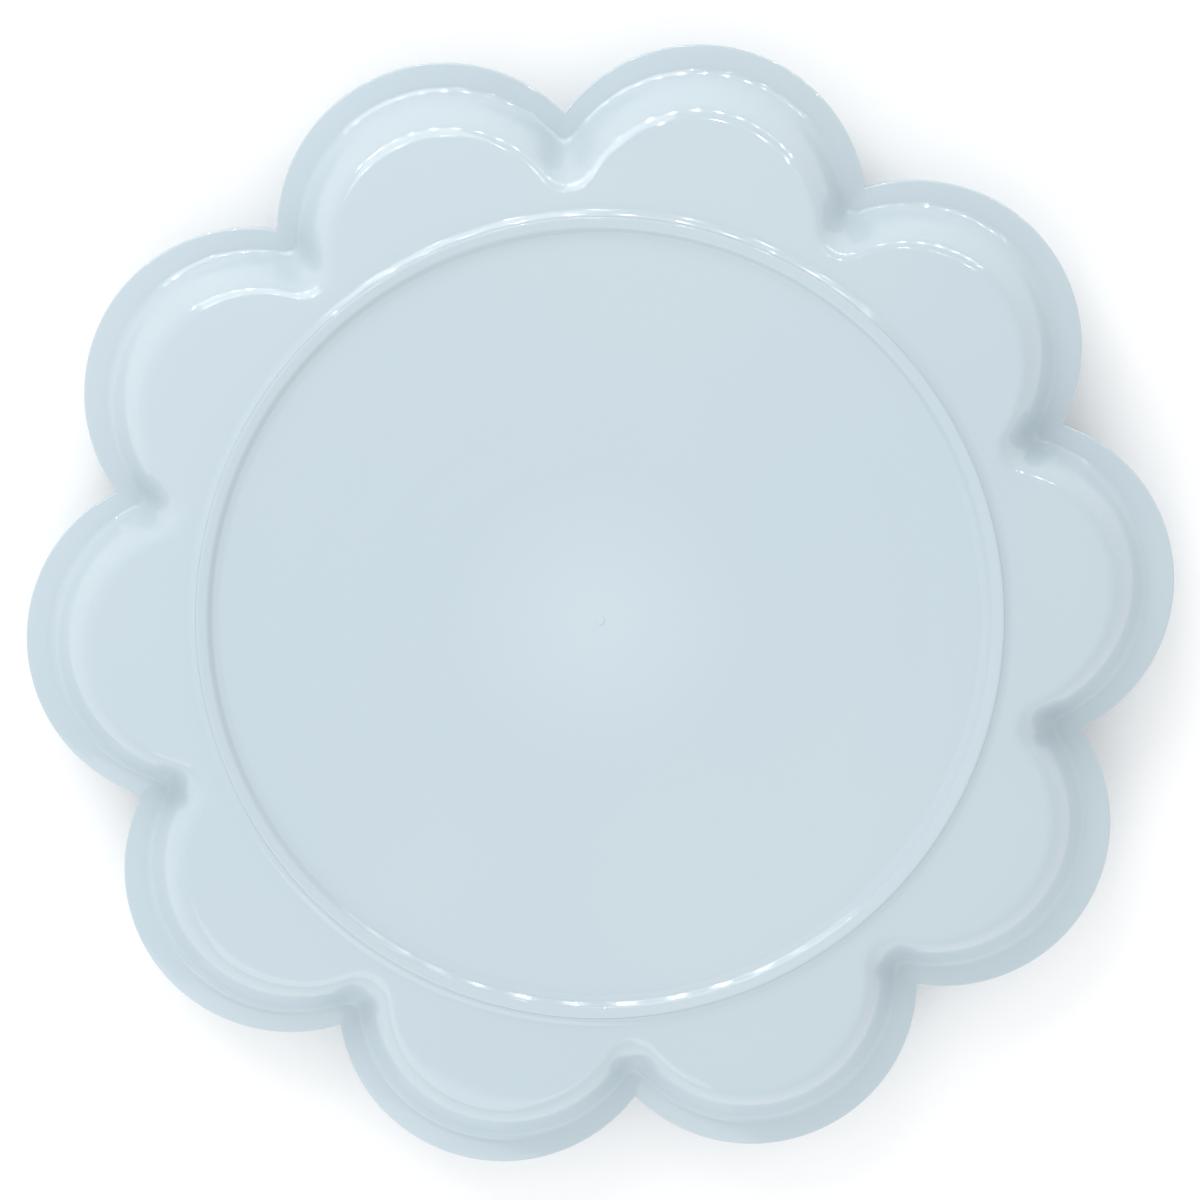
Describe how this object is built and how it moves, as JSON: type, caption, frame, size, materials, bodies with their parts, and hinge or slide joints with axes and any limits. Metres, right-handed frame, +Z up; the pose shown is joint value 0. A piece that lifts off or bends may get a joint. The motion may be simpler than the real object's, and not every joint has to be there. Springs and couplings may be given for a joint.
{
  "type": "mixing palette",
  "caption": "Flower-shaped paint palette: a lid with a raised ring over a tray of petal wells and a round lift-out mixing dish.",
  "frame": {"origin": "middle of the tray's foot ring, on the surface that the palette stands on", "axes": "+Z up out of the lid, +X through the middle of one petal"},
  "size_m": [0.2, 0.193, 0.0302],
  "materials": {
    "lid_plastic": "glossy, very pale ice blue",
    "tray_plastic": "glossy, very pale ice blue",
    "dish_plastic": "glossy milky white",
    "seal_rubber": "matt, soft, translucent white"
  },
  "bodies": {
    "tray": {"base_tray": "tray_plastic"},
    "dish": {"mixing_dish": "dish_plastic"},
    "lid": {"lid_shell": "lid_plastic", "lid_seal": "seal_rubber"}
  },
  "joints": [
    {"name": "lid_lift", "type": "slide", "parent": "tray", "child": "lid", "axis": [0, 0, 1], "range_m": [0, 0.08]},
    {"name": "dish_lift", "type": "slide", "parent": "tray", "child": "dish", "axis": [0, 0, 1], "range_m": [0, 0.04]}
  ],
  "couplings": [
    {"joint": "dish_lift", "follows": "lid_lift", "ratio": 0.5}
  ]
}
